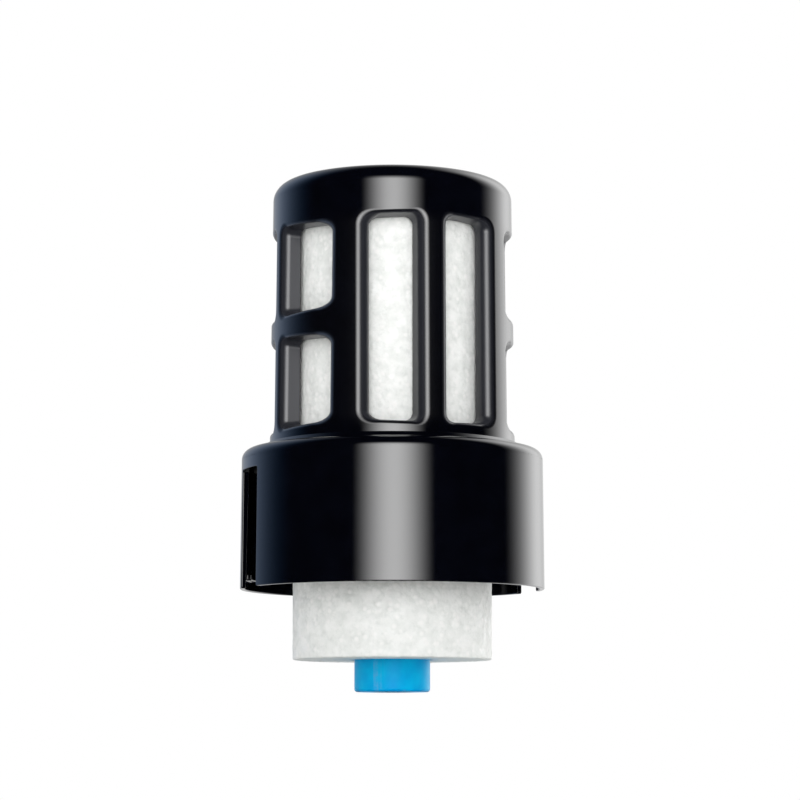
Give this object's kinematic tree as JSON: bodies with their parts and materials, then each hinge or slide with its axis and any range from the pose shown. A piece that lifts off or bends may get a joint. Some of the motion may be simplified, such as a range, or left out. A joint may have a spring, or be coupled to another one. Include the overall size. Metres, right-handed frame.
{
  "type": "pump water filter cartridge",
  "caption": "Intake cartridge of a pump water filter: a windowed cage on a slotted locking collar, holding a porous sleeve over an inner cartridge with a blue outlet stub.",
  "frame": {"origin": "centre of the outlet stub's flat end face, the lowest point", "axes": "+Z along the common axis from the outlet stub to the cage's closed top; the tall windows face +Y and -Y, the short windows and the collar's slots face +X and -X"},
  "size_m": [0.0498, 0.05, 0.0842],
  "materials": {
    "cage_black": "high-gloss moulded plastic, black with a faint navy tint",
    "collar_black": "high-gloss moulded plastic, black with a faint navy tint",
    "gasket_rubber": "matt moulded rubber",
    "sleeve_porous_white": "white open-pored filter material with a crystalline grain",
    "cap_white": "plain moulded plastic",
    "block_carbon": "pressed carbon, matt and grainy",
    "wrap_fleece": "thin fibrous fleece",
    "core_natural": "natural moulded plastic",
    "stub_blue": "satin cyan-blue moulded plastic",
    "seal_rubber": "smooth greased rubber"
  },
  "bodies": {
    "housing": {"cage": "cage_black", "locking_collar": "collar_black", "collar_gasket": "gasket_rubber"},
    "cartridge": {"upper_end_cap": "cap_white", "boss_grip_ring": "seal_rubber", "media_block": "block_carbon", "media_wrap": "wrap_fleece", "core_tube": "core_natural", "lower_end_cap": "cap_white", "outlet_stub": "stub_blue", "outlet_o_ring": "seal_rubber"},
    "sleeve": {"prefilter_sleeve": "sleeve_porous_white"}
  },
  "joints": [
    {"name": "cartridge_pull", "type": "slide", "parent": "housing", "child": "cartridge", "axis": [0, 0, 1], "range_m": [-0.07, 0]},
    {"name": "sleeve_pull", "type": "slide", "parent": "cartridge", "child": "sleeve", "axis": [0, 0, 1], "range_m": [-0.082, 0]}
  ]
}
